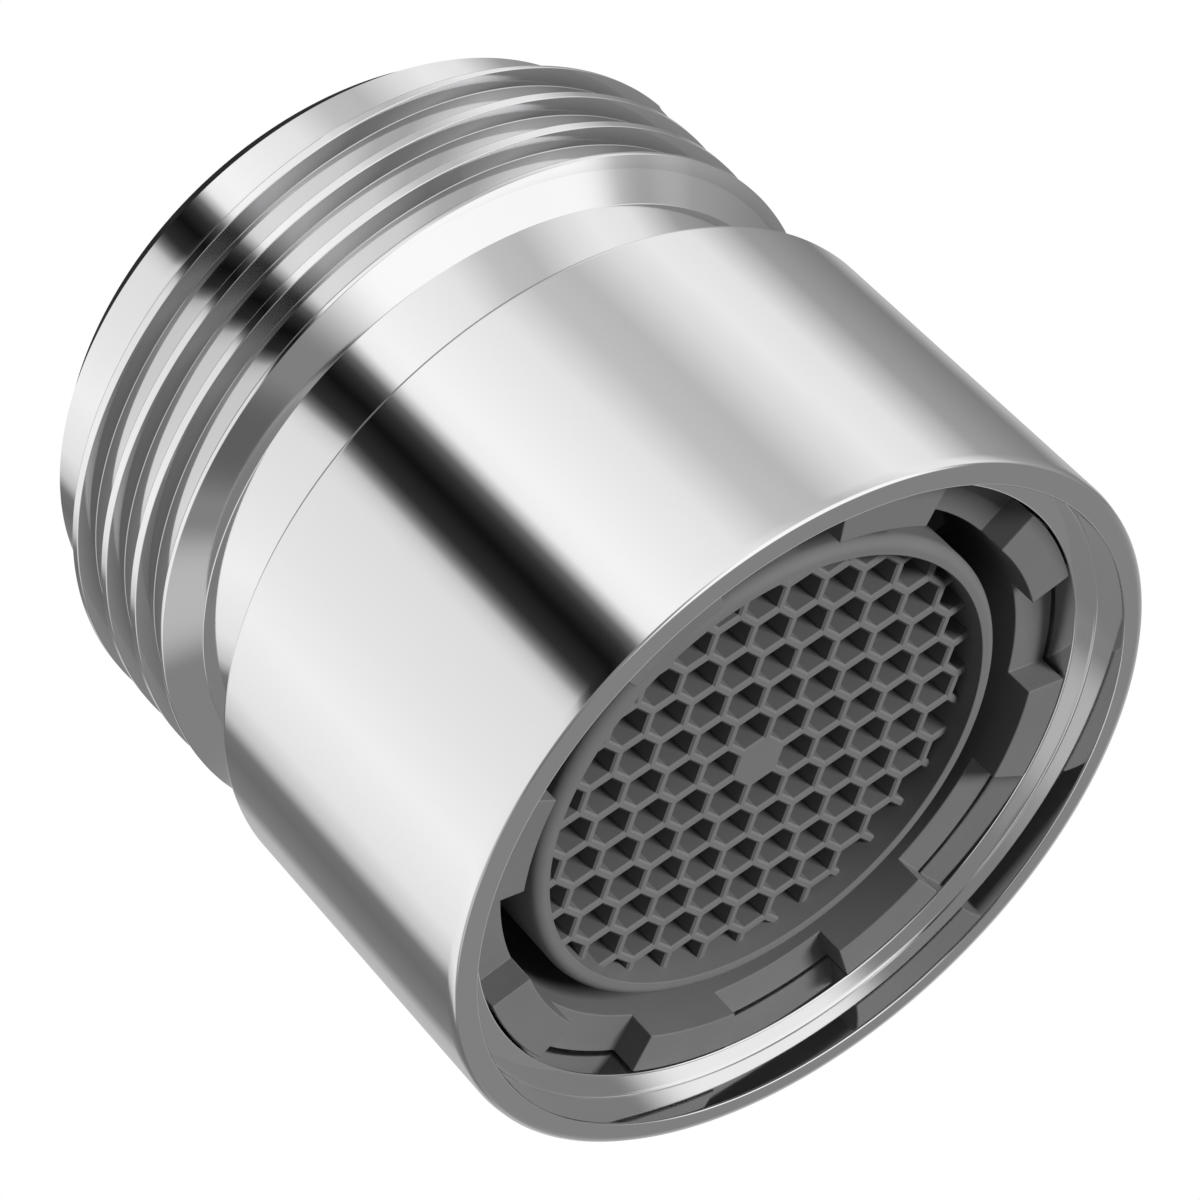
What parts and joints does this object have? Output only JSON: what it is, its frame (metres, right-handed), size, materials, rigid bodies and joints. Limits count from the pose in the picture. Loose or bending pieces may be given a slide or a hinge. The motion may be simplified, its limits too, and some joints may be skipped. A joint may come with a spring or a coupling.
{
  "type": "tap aerator",
  "caption": "Chromed male-threaded tap aerator: turned sleeve with a rubber mounting washer and a recessed honeycomb insert whose castellated nose takes a service key.",
  "frame": {"origin": "on the axis, in the plane of the outlet rim, which is the lowest face", "axes": "+Z along the axis from the outlet up to the inlet washer, as the aerator hangs in a spout; +X and +Y across it"},
  "size_m": [0.027, 0.027, 0.0265],
  "materials": {
    "chromed_brass": "polished chrome plate on turned brass",
    "black_rubber": "matt black rubber",
    "grey_plastic": "satin grey moulded plastic",
    "white_plastic": "satin off-white moulded plastic"
  },
  "bodies": {
    "root": {"housing": "chromed_brass", "mounting_washer": "black_rubber", "outlet_shell": "grey_plastic", "insert_seal": "black_rubber", "lower_grid": "grey_plastic", "middle_grid": "grey_plastic", "upper_grid": "grey_plastic", "jet_plate": "white_plastic", "regulator_base": "white_plastic", "regulator_ring": "black_rubber", "regulator_cap": "white_plastic", "inlet_screen": "white_plastic"}
  },
  "joints": []
}
